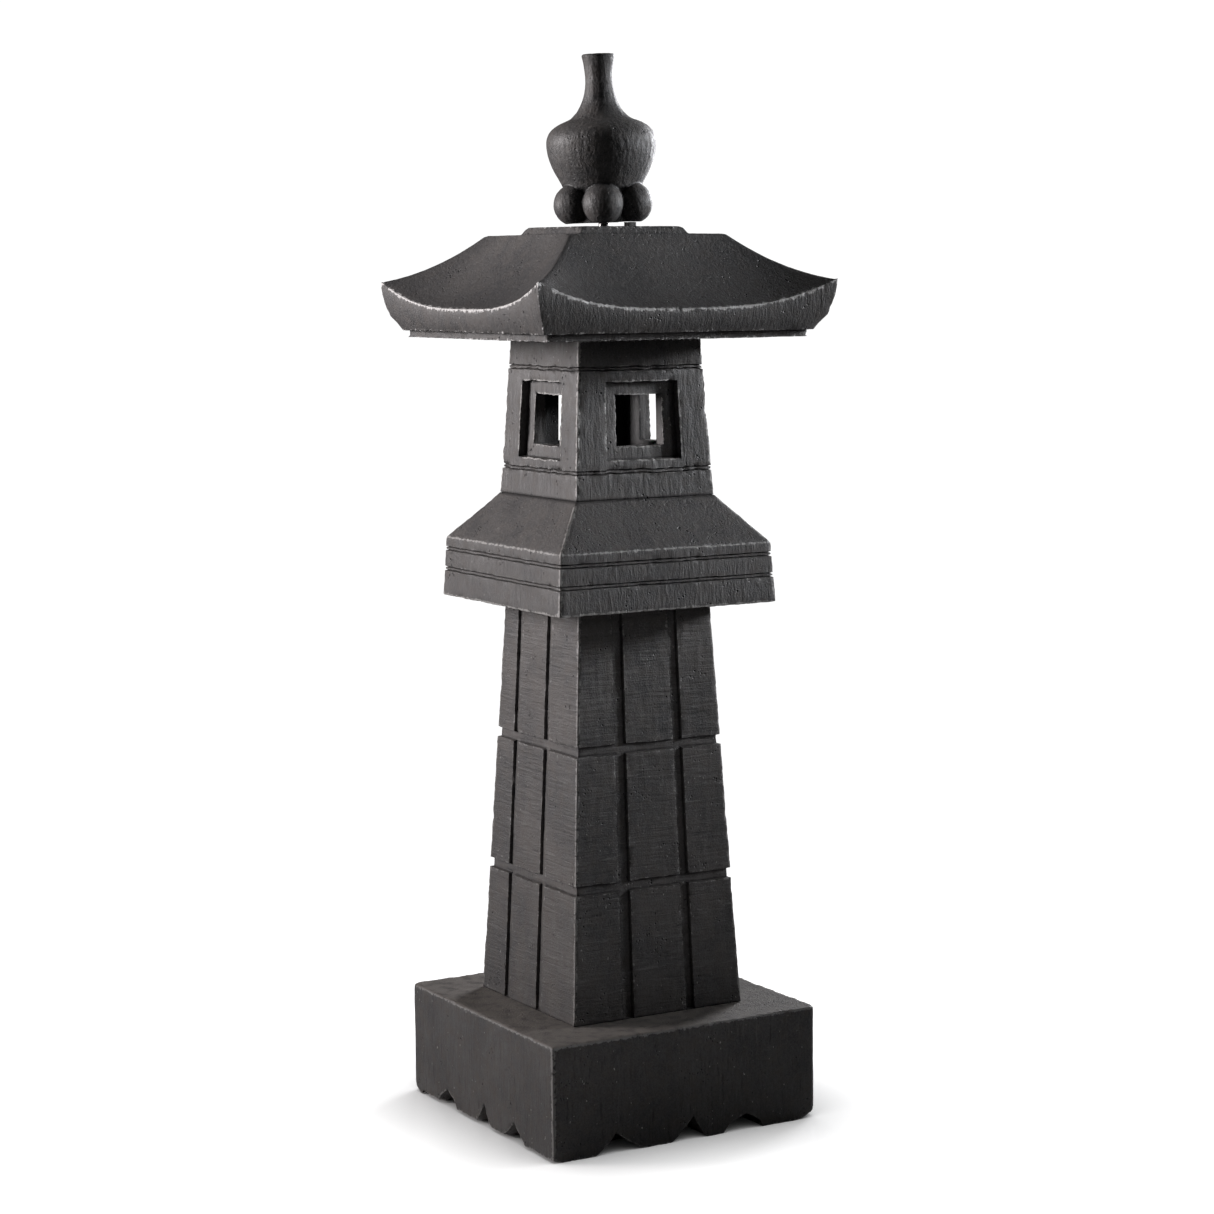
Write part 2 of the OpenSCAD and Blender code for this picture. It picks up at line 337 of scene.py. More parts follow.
def buildStudio():
    world = bpy.data.worlds.new("paleStudio")
    bpy.context.scene.world = world
    world.use_nodes = True
    tree = world.node_tree
    tree.nodes.clear()
    rays = tree.nodes.new("ShaderNodeLightPath")
    seen = tree.nodes.new("ShaderNodeBackground")
    lit = tree.nodes.new("ShaderNodeBackground")
    seen.inputs["Strength"].default_value = studio["backdrop"]
    lit.inputs["Strength"].default_value = studio["roomLight"]
    for light in (seen, lit):
        light.inputs["Color"].default_value = (1, 1, 1, 1)
    choice = tree.nodes.new("ShaderNodeMixShader")
    out = tree.nodes.new("ShaderNodeOutputWorld")
    tree.links.new(rays.outputs["Is Camera Ray"], choice.inputs[0])
    tree.links.new(lit.outputs[0], choice.inputs[1])
    tree.links.new(seen.outputs[0], choice.inputs[2])
    tree.links.new(choice.outputs[0], out.inputs["Surface"])
    for name, (place, aim, width, height, watts, spread, colour) in studio["lamps"].items():
        bpy.ops.object.light_add(type="AREA", location=place)
        lamp = bpy.context.object
        lamp.name = name
        lamp.rotation_euler = (Vector(aim) - Vector(place)).to_track_quat("-Z", "Y").to_euler()
        lamp.data.shape = "RECTANGLE"
        lamp.data.size = width
        lamp.data.size_y = height
        lamp.data.energy = watts
        lamp.data.spread = math.radians(spread)
        lamp.data.color = colour
    clearSelection()
    bpy.ops.mesh.primitive_plane_add(size=44)
    floor = bpy.context.object
    floor.name = "paleFloor"
    floor.data.materials.append(floorMaterial())


class Shading:
    # a short way to lay and join a material's nodes
    def __init__(self, name):
        self.material = bpy.data.materials.new(name)
        self.material.use_nodes = True
        self.tree = self.material.node_tree
        self.tree.nodes.clear()
        self.shader = self.add("ShaderNodeBsdfPrincipled")
        out = self.add("ShaderNodeOutputMaterial")
        self.tree.links.new(self.shader.outputs[0], out.inputs["Surface"])
        self.place = self.add("ShaderNodeTexCoord").outputs["Object"]

    def add(self, kind, **settings):
        node = self.tree.nodes.new(kind)
        for key, value in settings.items():
            setattr(node, key, value)
        return node

    def put(self, node, **values):
        for key, value in values.items():
            socket = node.inputs[int(key[1:])] if key[0] == "i" and key[1:].isdigit() else node.inputs[key]
            if isinstance(value, bpy.types.NodeSocket):
                self.tree.links.new(value, socket)
            else:
                socket.default_value = value
        return node

    def scaled(self, x, y, z, offset=(0, 0, 0)):
        node = self.put(self.add("ShaderNodeMapping"), Vector=self.place, Scale=(x, y, z), Location=offset)
        return node.outputs["Vector"]

    def noise(self, scale, detail=2.0, rough=0.5, place=None, bend=0.0):
        node = self.put(self.add("ShaderNodeTexNoise"), Vector=place or self.place, Scale=scale, Detail=detail,
                        Roughness=rough, Distortion=bend)
        return node.outputs["Fac"]

    def cells(self, scale):
        node = self.put(self.add("ShaderNodeTexVoronoi"), Vector=self.place, Scale=scale)
        return node.outputs["Distance"]

    def spread(self, value, low, high, toLow=0.0, toHigh=1.0):
        node = self.add("ShaderNodeMapRange", interpolation_type="SMOOTHSTEP")
        self.put(node, Value=value)
        for i, number in enumerate((low, high, toLow, toHigh), 1):
            node.inputs[i].default_value = number
        return node.outputs["Result"]

    def sum(self, kind, a, b, clamp=False):
        return self.put(self.add("ShaderNodeMath", operation=kind, use_clamp=clamp), i0=a, i1=b).outputs[0]

    def blend(self, amount, a, b):
        node = self.add("ShaderNodeMix", data_type="RGBA")
        for index, value in ((0, amount), (6, a), (7, b)):
            if isinstance(value, bpy.types.NodeSocket):
                self.tree.links.new(value, node.inputs[index])
            else:
                node.inputs[index].default_value = (*value, 1) if isinstance(value, tuple) else value
        return node.outputs[2]

    def stored(self, name):
        return self.add("ShaderNodeAttribute", attribute_name=name).outputs["Fac"]

    def bump(self, height, strength, distance, under=None):
        node = self.put(self.add("ShaderNodeBump"), Height=height, Strength=strength, Distance=distance)
        if under:
            self.tree.links.new(under, node.inputs["Normal"])
        return node.outputs["Normal"]


def floorMaterial():
    # white all over, with a painted contact shadow that makes it greyer only close to the stone
    s = Shading("paleFloorPaint")
    near = s.put(s.add("ShaderNodeAmbientOcclusion", samples=12), Distance=studio["contactReach"]).outputs["AO"]
    glow = s.sum("MULTIPLY", s.sum("POWER", near, studio["contactDepth"]), studio["floorGlow"])
    seen = s.sum("MULTIPLY", glow, s.add("ShaderNodeLightPath").outputs["Is Camera Ray"])
    s.put(s.shader, **{"Base Color": (0.9, 0.9, 0.9, 1), "Roughness": 0.18, "Emission Color": (1, 1, 1, 1),
                       "Emission Strength": seen})
    return s.material


def stoneMaterial(name, look):
    s = Shading(name)
    arris, cornerShade = s.stored("arris"), s.stored("cornerShade")
    # the stone itself: broad patches, cloudy grain and fine speckle
    patches = s.spread(s.noise(look["patchScale"], 3, 0.55), 0.35, 0.68)
    clouds = s.noise(85, 4, 0.6)
    grain = s.noise(620, 3, 0.65)
    colour = s.blend(patches, look["dark"], look["mid"])
    colour = s.blend(s.spread(clouds, 0.38, 0.72, 0.0, 0.55), colour, look["brown"])
    colour = s.blend(s.spread(grain, 0.30, 0.75, 0.0, look["grain"]), colour, look["pale"])
    # tooling: fine strokes up the bands, dashes along the panels
    upStrokes = s.noise(330, 3, 0.62, s.scaled(1, 1, look["strokeDraw"]), 0.4)
    longDashes = s.noise(300, 3, 0.6, s.scaled(0.10, 0.10, 1), 0.3)
    upMarks = s.spread(upStrokes, 0.58, 0.76, 0.0, look["upStrokes"] * 0.45)
    dashMarks = s.spread(longDashes, 0.60, 0.76, 0.0, look["dashes"] * 0.5)
    colour = s.blend(upMarks, colour, look["pale"])
    colour = s.blend(dashMarks, colour, look["pale"])
    darkStrokes = s.spread(upStrokes, 0.42, 0.26, 0.0, look["upStrokes"])
    colour = s.blend(darkStrokes, colour, look["pit"])
    colour = s.blend(s.spread(longDashes, 0.40, 0.26, 0.0, look["dashes"] * 0.7), colour, look["pit"])
    # open pores of the lava, some of them large
    pores = s.spread(s.cells(look["poreScale"]), 0.30, 0.10)
    poreMask = s.spread(s.noise(48, 2, 0.5, s.scaled(1, 1, 1, (3.1, 1.7, 0.4))), 0.56, 0.70)
    pores = s.sum("MULTIPLY", pores, poreMask)
    colour = s.blend(s.sum("MULTIPLY", pores, look["pores"]), colour, look["pit"])
    # pale mineral flecks
    flecks = s.spread(s.noise(520, 1, 0.5, s.scaled(1, 1, 0.45, (0.7, 2.2, 5.0))), 0.76, 0.80, 0.0, look["flecks"])
    colour = s.blend(flecks, colour, look["fleck"])
    # worn, chipped edges show paler, and inner corners and joints are darkened with painted shade
    edge = s.sum("SUBTRACT", arris, s.sum("MULTIPLY", cornerShade, 1.1), clamp=True)
    worn = s.spread(s.sum("ADD", edge, s.sum("MULTIPLY", s.noise(230, 3, 0.7), look["wearBreaks"])),
                    look["wearFrom"], look["wearFrom"] + 0.28, 0.0, look["wear"])
    colour = s.blend(worn, colour, look["worn"])
    # painted shade: the inside of the firebox is darkened towards the pit colour
    colour = s.blend(s.sum("MULTIPLY", s.stored("insideShade"), 0.9), colour, look["pit"])
    # painted shade: inner corners and joints darken towards the pit colour, broken up by the clouds
    dustAndShade = s.spread(s.sum("ADD", cornerShade, s.sum("MULTIPLY", clouds, 0.5)), 0.75, 1.35, 0.0, look["cornerShadeStrength"])
    colour = s.blend(dustAndShade, colour, look["pit"])
    # what faces up takes a set colour: paler dust on most stones, and a darker tone on the roof's upper slopes
    up = s.add("ShaderNodeSeparateXYZ")
    s.put(up, Vector=s.add("ShaderNodeTexCoord").outputs["Normal"])
    lying = s.sum("MULTIPLY", s.spread(up.outputs["Z"], 0.45, 0.95), s.spread(clouds, 0.30, 0.60, 0.4, 1.0))
    colour = s.blend(s.sum("MULTIPLY", lying, look["dustAndShade"]), colour, look["dustAndShadeColour"])
    rough = s.spread(s.sum("ADD", s.sum("MULTIPLY", clouds, 0.6), s.sum("MULTIPLY", grain, 0.5)), 0.35, 0.80,
                     look["smooth"], look["smooth"] + 0.26)
    relief = s.bump(grain, look["grainRelief"], 0.0008)
    relief = s.bump(upStrokes, look["upStrokes"], 0.0012, relief)
    relief = s.bump(longDashes, look["dashes"], 0.0010, relief)
    relief = s.bump(pores, 0.9, -0.0016, relief)
    s.put(s.shader, **{"Base Color": colour, "Roughness": rough, "Normal": relief, "Specular IOR Level": 0.5})
    return s.material


lavaStone = {
    "dark": (0.046, 0.045, 0.047),
    "mid": (0.082, 0.078, 0.077),
    "brown": (0.080, 0.068, 0.060),
    "pale": (0.22, 0.215, 0.21),
    "worn": (0.50, 0.49, 0.475),
    "fleck": (0.55, 0.54, 0.52),
    "pit": (0.012, 0.012, 0.013),
    "patchScale": 16,
    "poreScale": 240,
    "grain": 0.30,
    "upStrokes": 0.5,
    "dashes": 0.0,
    "pores": 0.9,
    "flecks": 0.6,
    "wear": 0.45,
    "wearFrom": 1.58,
    "wearBreaks": 1.8,
    "strokeDraw": 0.2,
    # strength of the painted shade in inner corners and joints
    "cornerShadeStrength": 0.8,
    "dustAndShade": 0.15,
    "dustAndShadeColour": (0.21, 0.195, 0.18),
    "smooth": 0.46,
    "grainRelief": 0.45,
}


def finishStone(stone, look, body, node, smooth=34, chips=0.0007, nicks=0.0012, reach=0.0045, waves=0.0008,
                tooling=0.0004, bed=(), sharp=20, crease=20, joints=(), draw=6, wobble=0):
    # marks the edges, then wears the surface: the broad waves go both ways, chips only inwards
    markArrises(stone, reach, 0.004, sharp, crease, joints)
    values = [0.0] * len(stone.data.vertices)
    stone.data.attributes["arris"].data.foreach_get("value", values)
    paintGroup(stone, "edges", lambda v: values[v.index] ** 1.5)
    paintGroup(stone, "skin", lambda v: 0 if any(abs(v.co.z - z) < 1e-5 for z in bed) else 1)
    roughen(stone, noiseTexture(node + "Waves", "CLOUDS", 0.045, noise_depth=2), waves, 0.5, "skin")
    roughen(stone, noiseTexture(node + "Tooling", "CLOUDS", 0.0042, noise_depth=2, contrast=1.6), tooling, 0.6,
            "skin", along=drawnUp(draw))
    if wobble:
        for direction in "XYZ":
            roughen(stone, noiseTexture(node + "Wobble" + direction, "CLOUDS", 0.014, noise_depth=3, contrast=1.8),
                    wobble, 0.5, "edges", direction)
    roughen(stone, noiseTexture(node + "Chips", "CLOUDS", 0.0048, noise_depth=3, contrast=2.4, intensity=0.85),
            -chips, 0.0, "edges")
    roughen(stone, noiseTexture(node + "Nicks", "CLOUDS", 0.011, noise_depth=2, contrast=4.5, intensity=0.02),
            -nicks, 0.0, "edges")
    smoothShade(stone, smooth)
    stone.data.materials.clear()
    stone.data.materials.append(stoneMaterial(node + "Stone", lavaStone | look))
    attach(stone, body)
    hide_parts(node)
    note(f"{node}: {len(stone.data.polygons)} faces")


baseStone = {
    "cornerRadius": 0.009,
    "gap": 0.0026,
    "notchDepth": 0.035,
    "reach": 0.048,  # how far up the sides the notches draw the stone
    # place of the peak along the side, how far it reaches left and right of it, how high, and the bend of its sides
    "frontNotches": ((-0.077, 0.023, 0.031, 0.019, 1.3), (0.006, 0.024, 0.015, 0.022, 1.3),
                     (0.064, 0.024, 0.018, 0.015, 0.45)),
    "sideNotches": ((-0.068, 0.018, 0.020, 0.016, 0.6), (0.008, 0.017, 0.014, 0.022, 1.4),
                    (0.068, 0.022, 0.022, 0.018, 1.2)),
    "highest": 0.025,
    "socket": (0.0325, 0.018),
    "wornFeet": {(1, -1): 0.021, (-1, 1): 0.020, (1, 1): 0.009},  # corners of the foot, and how far the wear reaches
    "footWear": 0.009,
    "finish": {"nicks": 0.001, "wobble": 0.0008},
    "look": {"brown": (0.094, 0.078, 0.064), "upStrokes": 0.6, "flecks": 0.9, "wear": 0.45, "dustAndShade": 0.95,
             "dustAndShadeColour": (0.29, 0.265, 0.245), "strokeDraw": 0.12},
}


def notchHeight(place, notches):
    for peak, reachLeft, reachRight, high, bend in notches:
        u = (peak - place) / reachLeft if place < peak else (place - peak) / reachRight
        if u < 1:
            return high * (1 - u) ** bend
    return 0.0


def buildBase():
    b = baseStone
    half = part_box("base")[1].x
    stone = squareStone("baseBlock", [(0, half), (baseTop, half)])
    nearlySharp = lambda v: v.co.x < 0 and v.co.y < 0
    softenEdges(stone, b["cornerRadius"], 5, lambda e: abs(e.verts[0].co.z - e.verts[1].co.z) > 0.01
                and not nearlySharp(e.verts[0]))
    softenEdges(stone, 0.002, 2, lambda e: abs(e.verts[0].co.z - e.verts[1].co.z) > 0.01 and nearlySharp(e.verts[0])
                and e.calc_face_angle(0) > 1)
    softenEdges(stone, 0.0030, 3, lambda e: hardEdge(e) and min(v.co.z for v in e.verts) > baseTop - 0.001)
    inner = half - b["notchDepth"]
    keys = [-half + 0.0024, -half + 0.005, -inner - 0.0006, -inner + 0.0006]
    xKeys = sorted(keys + [-k for k in keys] + [p for n in b["frontNotches"] for p in (n[0], -n[0])])
    yKeys = sorted(keys + [-k for k in keys] + [p for n in b["sideNotches"] for p in (n[0], -n[0])])
    cutUpright(0, filled([(k, k) for k in xKeys], b["gap"]), 0, baseTop)
    cutUpright(1, filled([(k, k) for k in yKeys], b["gap"]), 0, baseTop)
    cutLevel([0.0012, b["reach"], baseTop - 0.005])
    addRows(stone, 0.0012, b["reach"], 0.0020)
    addRows(stone, b["reach"], baseTop - 0.005, b["gap"])
    stopEditing()

    def lift(v):
        x, y, z = v.co
        best = 0.0
        for out, place, notches in ((-y, x, b["frontNotches"]), (y, -x, b["frontNotches"]),
                                    (-x, -y, b["sideNotches"]), (x, y, b["sideNotches"])):
            if out > inner - 0.00001:
                best = max(best, notchHeight(place, notches))
        return best / b["highest"] * max(0, 1 - z / b["reach"])
    paintGroup(stone, "notches", lift)
    applyModifier(stone, "DISPLACE", strength=b["highest"], mid_level=0, direction="Z", vertex_group="notches")

    def footWear(v):
        for (sx, sy), reach in b["wornFeet"].items():
            d = math.hypot(v.co.x - sx * half, v.co.y - sy * half) / reach
            if d < 1 and v.co.z < 0.03:
                return (1 - d) ** 1.3 * max(0, 1 - v.co.z / 0.03)
        # the whole left side is rubbed up a little
        return 0.35 * max(0, 1 - (v.co.x + half) / 0.010) * max(0, 1 - v.co.z / 0.03)
    paintGroup(stone, "feet", footWear)
    applyModifier(stone, "DISPLACE", strength=b["footWear"], mid_level=0, direction="Z", vertex_group="feet")
    radius, deep = b["socket"]
    drill(stone, radius, baseTop - deep, baseTop + 0.01)
    finishStone(stone, b["look"], "base", "base", bed=(baseTop,), **b["finish"])
    # nothing reaches below the ground it stands on
    for v in stone.data.vertices:
        v.co.z = max(v.co.z, 0.0001)


postStone = {
    "footHalf": 0.0913,
    "headHalf": 0.0711,
    "gap": 0.0026,
    "depth": 0.0028,
    "slant": 0.0009,
    "levels": (0.232, 0.360),
    "levelWidth": 0.0095,
    # edges of the upright grooves at the foot and at the head
    "frontGrooves": ((-0.0390, -0.0365), (-0.0268, -0.0250), (0.0306, 0.0226), (0.0394, 0.0330)),
    "sideGrooves": ((-0.0268, -0.0225), (-0.0165, -0.0130), (0.0355, 0.0350), (0.0455, 0.0440)),
    "tenon": (0.030, 0.016),
    "finish": {"waves": 0.0011, "wobble": 0.0008, "chips": 0.0005, "nicks": 0.0007},
    "look": {"upStrokes": 0.16, "dashes": 0.85, "wear": 0.45, "mid": (0.092, 0.085, 0.082), "pores": 0.6,
             "brown": (0.096, 0.082, 0.072)},
}


def buildPost():
    p = postStone
    foot, head = baseTop, postTop
    stone = squareStone("postShaft", [(foot, p["footHalf"]), (head, p["headHalf"])])
    softenEdges(stone, 0.0013, 2, hardEdge)
    halfAt = lambda z: lineAt((p["footHalf"], p["headHalf"]), z, foot, head)

    def columns(grooves):
        (a, b, c, d), slant = grooves, p["slant"]
        shifted = lambda line, by: (line[0] + by, line[1] + by)
        rim = (p["footHalf"] - 0.0030, p["headHalf"] - 0.0030)
        keys = [(-rim[0], -rim[1]), a, shifted(a, slant), shifted(b, -slant), b, c, shifted(c, slant),
                shifted(d, -slant), d, rim]
        return filled(keys, p["gap"])
    cutUpright(0, columns(p["frontGrooves"]), foot, head)
    cutUpright(1, columns(p["sideGrooves"]), foot, head)
    wide = p["levelWidth"] / 2
    rings = [z + d for z in p["levels"] for d in (-wide, -wide + p["slant"], wide - p["slant"], wide)]
    marks = [foot + 0.0030] + rings + [head - 0.0030]
    cutLevel(marks)
    for low, high in zip(marks, marks[1:]):
        addRows(stone, low, high, p["gap"])
    for z in p["levels"]:
        sinkRing(stone, z - wide + p["slant"], z + wide - p["slant"], halfAt(z), p["depth"])
    near = 3e-5
    for side in allSides:
        axis, sign = side
        a, b, c, d = p["frontGrooves"] if axis == 1 else p["sideGrooves"]
        for low, high in ((a, b), (c, d)):
            def onFloor(v):
                z = v.co.z
                if abs(v.co[axis] * sign - halfAt(z)) > near or not foot + 0.0001 < z < head - 0.0001:
                    return False
                across = v.co[1 - axis]
                return (lineAt(low, z, foot, head) + p["slant"] - near < across
                        < lineAt(high, z, foot, head) - p["slant"] + near)
            sinkPatch(stone, side, onFloor, p["depth"])
    stopEditing()
    radius, long = p["tenon"]
    drill(stone, radius, foot - long, foot + 0.01, mode="UNION")
    drill(stone, radius, head - 0.01, head + long, mode="UNION")
    finishStone(stone, p["look"], "post", "post", bed=(foot, head), joints=(foot, head), **p["finish"])


platformStone = {
    "footHalf": 0.1159,
    "bandHalf": 0.1128,
    "bandTop": 0.5475,
    "headHalf": 0.0742,
    "gap": 0.0024,
    "lines": (0.517, 0.5365),
    "socket": (0.0325, 0.018),
    "finish": {"sharp": 16, "reach": 0.0034, "wobble": 0.0005, "chips": 0.0005, "nicks": 0.0009},
    "look": {"upStrokes": 0.6, "flecks": 0.8, "wear": 0.6},
}


kerfSteps = (-0.0021, -0.0015, -0.0009, 0.0, 0.0009, 0.0015, 0.0021)


def kerfLevels(z):
    return [z + d for d in kerfSteps]


def scribe(stone, z, half, depth=0.0024):
    # two thin kerfs cut close together, with the stone between them a little lower
    for d in (kerfSteps[1], kerfSteps[5]):
        sinkRing(stone, z + d, z + d, half, depth)
    for d in kerfSteps[2:5]:
        sinkRing(stone, z + d, z + d, half, 0.0005)


def buildPlatform():
    p = platformStone
    foot, head, band = postTop, platformTop, p["bandTop"]
    stone = squareStone("platformSlab", [(foot, p["footHalf"]), (band, p["bandHalf"]), (head, p["headHalf"])])
    softenEdges(stone, 0.0014, 2, hardEdge)
    edge = p["headHalf"] - 0.004
    lines = filled([(-edge, -edge), (edge, edge)], p["gap"])
    outer = [(x, x) for x in (edge + 0.0030 + i * 0.00245 for i in range(16)) if x < p["bandHalf"] - 0.0042]
    outer += [(p["bandHalf"] - 0.0034,) * 2]
    lines = sorted(lines + mirrored(outer))
    for axis in (0, 1):
        cutUpright(axis, lines, foot, head)
    kerfs = [k for z in p["lines"] for k in kerfLevels(z)]
    marks = [foot + 0.003] + kerfs + [band - 0.0024, band + 0.0024, head - 0.003]
    cutLevel(marks)
    for low, high in zip(marks, marks[1:]):
        if high - low > p["gap"] and not low < band < high:
            addRows(stone, low, high, p["gap"] * 0.8)
    for z in p["lines"]:
        scribe(stone, z, lineAt((p["footHalf"], p["bandHalf"]), z, foot, band))
    stopEditing()
    radius, deep = p["socket"]
    drill(stone, radius, foot - 0.01, foot + deep)
    drill(stone, radius, head - deep, head + 0.01)
    finishStone(stone, p["look"], "platform", "platform", bed=(foot, head), joints=(head,), **p["finish"])


fireboxStone = {
    "footHalf": 0.0742,
    "headHalf": 0.0656,
    "cavityHalf": 0.050,
    "floor": 0.6109,
    "gap": 0.0021,
    "window": (0.6389, 0.6859),
    # half widths at the foot and at the head of the stone; the back and right windows came out narrower
    "windowEdges": (0.0259, 0.0236),
    "farWindowEdges": (0.0235, 0.0213),
    "recess": (0.62665, 0.69815),
    "recessEdges": (0.0408, 0.0372),
    "recessDepth": 0.0075,
    "lines": (0.6162, 0.7105),
    "jambRows": 7,
    "slant": 0.0009,
    "tenon": (0.030, 0.016),
    "finish": {"chips": 0.0009, "nicks": 0.0015, "wobble": 0.0016},
    "look": {"upStrokes": 0.5, "poreScale": 210, "wear": 0.75},
}


def buildFirebox():
    p = fireboxStone
    foot, head = platformTop, fireboxTop
    stone = squareStone("fireboxBlock", [(foot, p["footHalf"]), (head, p["headHalf"])])
    softenEdges(stone, 0.0013, 2, hardEdge)
    pickTop(stone, head)
    top = max(v.co.x for v in bmesh.from_edit_mesh(stone.data).verts if abs(v.co.z - head) < 1e-5)
    bpy.ops.mesh.inset(thickness=top - p["cavityHalf"], use_boundary=True)
    bpy.ops.mesh.extrude_region_move(TRANSFORM_OT_translate={"value": (0, 0, p["floor"] - head)})
    halfAt = lambda z: lineAt((p["footHalf"], p["headHalf"]), z, foot, head)
    rim = (p["footHalf"] - 0.0030, p["headHalf"] - 0.0030)
    slant = p["slant"]
    keys = [(0.0, 0.0), p["farWindowEdges"], p["windowEdges"], tuple(v - slant for v in p["recessEdges"]),
            p["recessEdges"], rim]
    keys = sorted(keys + [(-a, -b) for a, b in keys[1:]])
    lines = filled(keys, p["gap"])
    for axis in (0, 1):
        cutUpright(axis, lines, foot, head)
    low, high = p["recess"]
    marks = sorted([foot + 0.003, p["floor"], low, low + slant, *p["window"], high - slant, high, head - 0.003]
                   + [k for z in p["lines"] for k in kerfLevels(z)])
    cutLevel(marks)
    for a, b in zip(marks, marks[1:]):
        if b - a > p["gap"] * 0.9:
            addRows(stone, a, b, p["gap"])
    near = 3e-5
    for z in p["lines"]:
        scribe(stone, z, halfAt(z))
    for side in allSides:
        axis, sign = side

        def inRecess(v):
            z = v.co.z
            return (low + slant - near < z < high - slant + near and abs(v.co[axis] * sign - halfAt(z)) < near
                    and abs(v.co[1 - axis]) < lineAt(p["recessEdges"], z, foot, head) - slant + near)
        sinkPatch(stone, side, inRecess, p["recessDepth"])
    for side in allSides:
        axis, sign = side
        edges = p["windowEdges"] if sign < 0 else p["farWindowEdges"]

        def inWindow(f):
            c = f.calc_center_median()
            return (abs(f.normal[axis]) > 0.9 and c[axis] * sign > p["cavityHalf"] - 0.001
                    and p["window"][0] < c.z < p["window"][1]
                    and abs(c[1 - axis]) < lineAt(edges, c.z, foot, head))
        pick(stone, "FACE", inWindow)
        bpy.ops.mesh.delete(type="FACE")
        pick(stone, "EDGE", lambda e: e.is_boundary)
        bpy.ops.mesh.bridge_edge_loops(number_cuts=p["jambRows"])
    pick(stone, "FACE", lambda f: True)
    bpy.ops.mesh.normals_make_consistent(inside=False)
    stopEditing()
    radius, long = p["tenon"]
    drill(stone, radius, foot - long, foot + 0.01, mode="UNION")
    finishStone(stone, p["look"], "firebox", "firebox", bed=(foot, head), joints=(foot,), **p["finish"])
    # painted shade: the inside of the firebox is marked to be darkened
    inside = [1.0 if max(abs(v.co.x), abs(v.co.y)) < p["cavityHalf"] + 0.0015 and v.co.z > foot + 0.001 else 0.0
              for v in stone.data.vertices]
    stone.data.attributes.new("insideShade", "FLOAT", "POINT").data.foreach_set("value", inside)


roofStone = {
    "bossHalf": 0.046,
    "bossFoot": 0.731,
    "lipHalf": 0.1375,
    "lipTop": 0.7445,
    "fasciaFoot": 0.1443,
    "eave": (0.150, 0.766),      # half width and height at the middle of a side
    "tip": (0.157, 0.7914),      # and at the corners
    "eaveHandles": ((0.020, 0.0095), (0.0205, 0.030)),
    "tipHandles": ((0.027, 0.0051), (0.0215, 0.020)),
    "flat": (0.0825, 0.833),
    "plate": (0.0555, 0.0515, 0.8403),
    "bulge": 0.0026,
    "nipReach": 0.016,
    "nipHeight": 0.013,
    "nipRadius": 0.190,
    "slopeRows": 58,
    "fasciaRows": 14,
    "lipRings": 24,
    "flatRings": 9,
    "columns": 124,
    "dowelHole": (0.0058, 0.026),
    "finish": {"chips": 0.0010, "nicks": 0.0014, "sharp": 60, "waves": 0.0005, "tooling": 0.00025, "reach": 0.0066},
    # the roof's upward faces are darkened rather than dusted pale
    "look": {"upStrokes": 0.55, "wear": 1.0, "worn": (0.66, 0.65, 0.64), "wearFrom": 1.50, "dustAndShade": 0.6,
             "dustAndShadeColour": (0.03, 0.03, 0.031), "strokeDraw": 0.14},
    "quietWear": 0.62,
}


